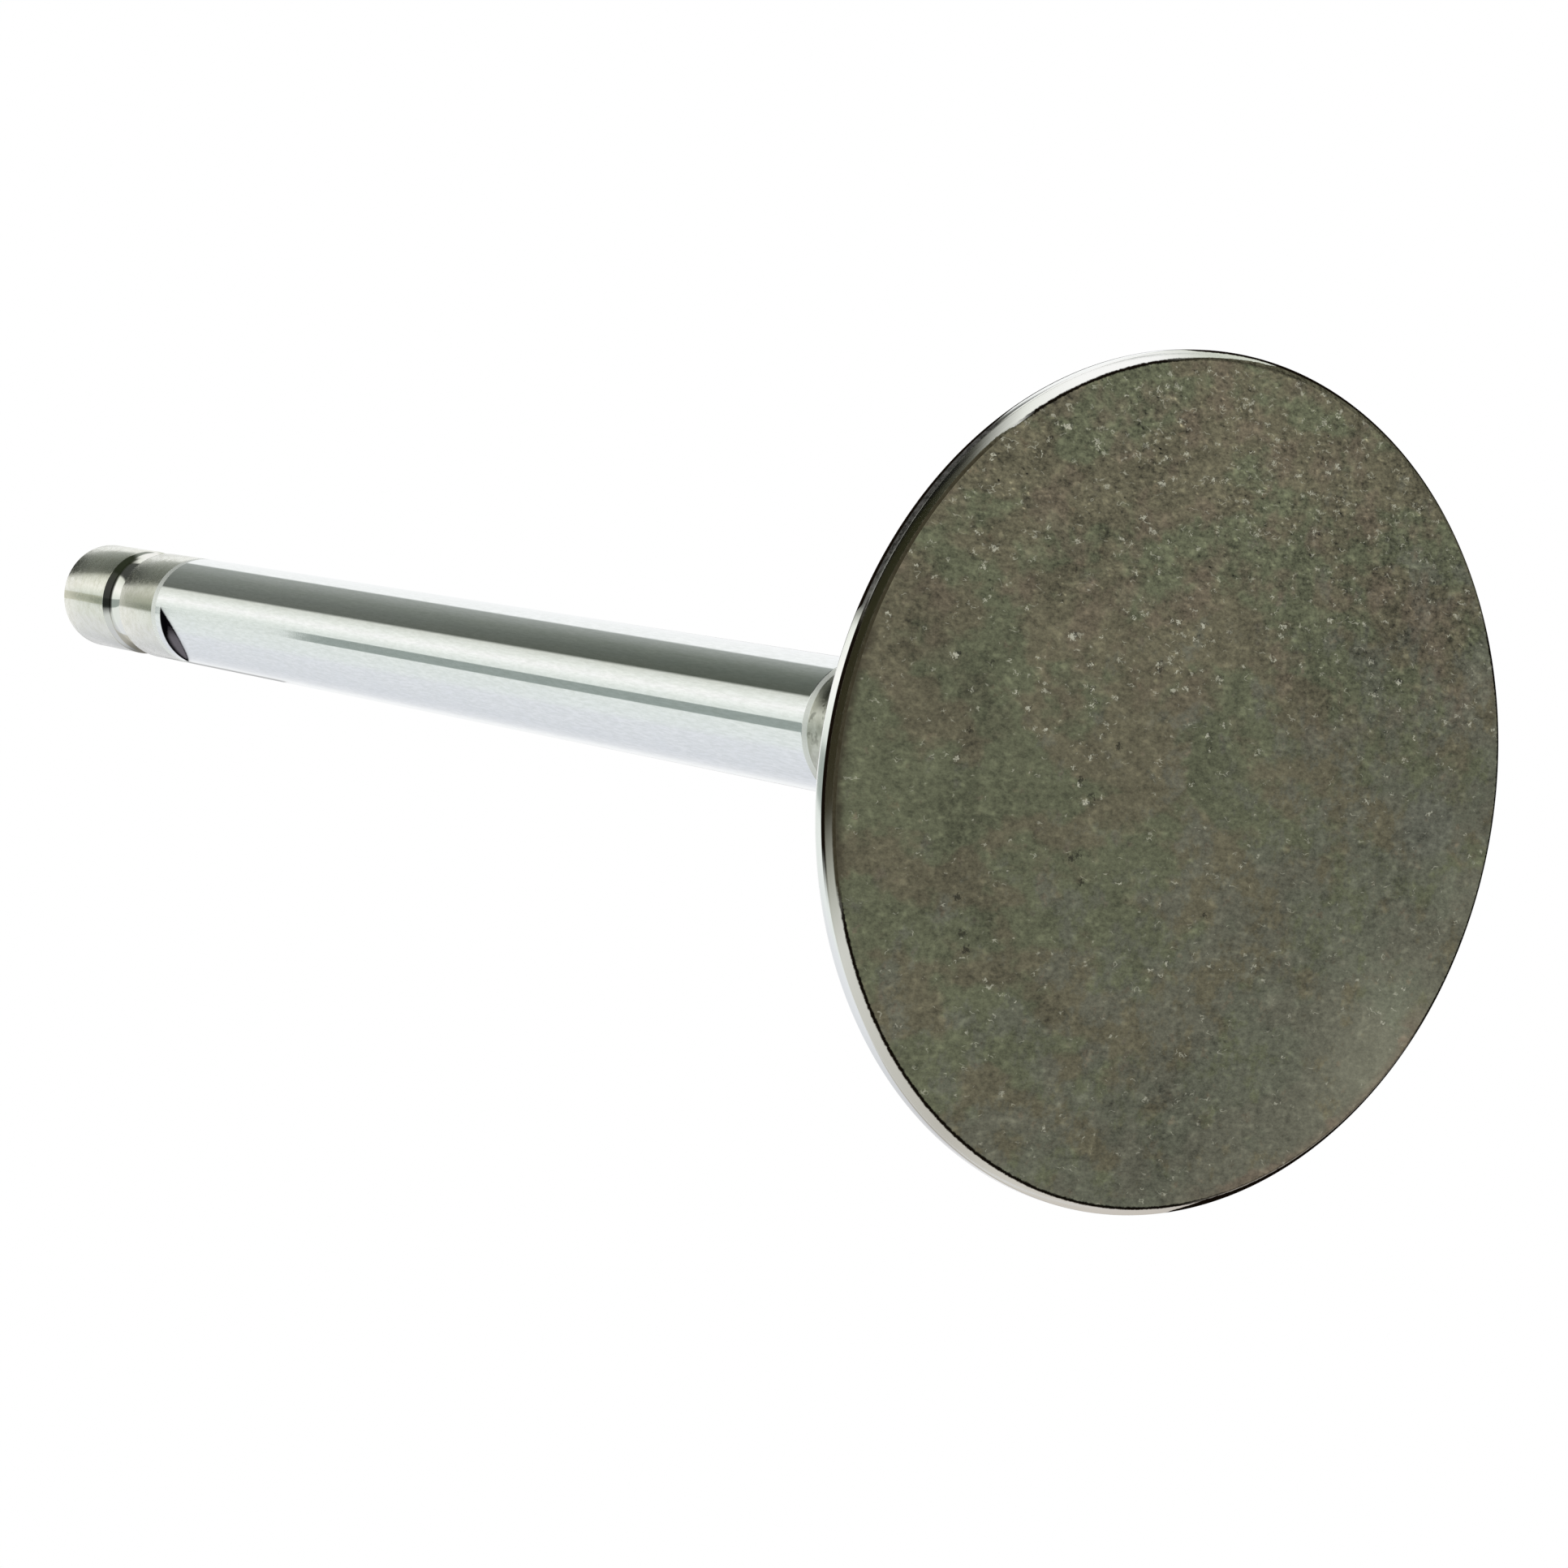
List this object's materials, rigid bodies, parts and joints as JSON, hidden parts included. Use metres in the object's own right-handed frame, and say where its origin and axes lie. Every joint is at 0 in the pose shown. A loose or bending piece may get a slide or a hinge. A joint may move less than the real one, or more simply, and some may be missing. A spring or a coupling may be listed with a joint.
{
  "type": "engine valve",
  "caption": "Poppet valve with a flat round head, ground seat, swept neck, plated stem and keeper groove. Opens and seals an engine's intake port.",
  "frame": {"origin": "centre of the flat combustion face, which the valve stands on", "axes": "+Z along the stem, from the head to the tip; X and Y are alike, because the valve is turned about Z"},
  "size_m": [0.045, 0.045, 0.1332],
  "materials": {
    "valve_steel": "chrome-plated ground stem, satin ground neck, tip, margin and seat, and a dark as-forged face"
  },
  "bodies": {
    "root": {"valve": "valve_steel"}
  },
  "joints": []
}
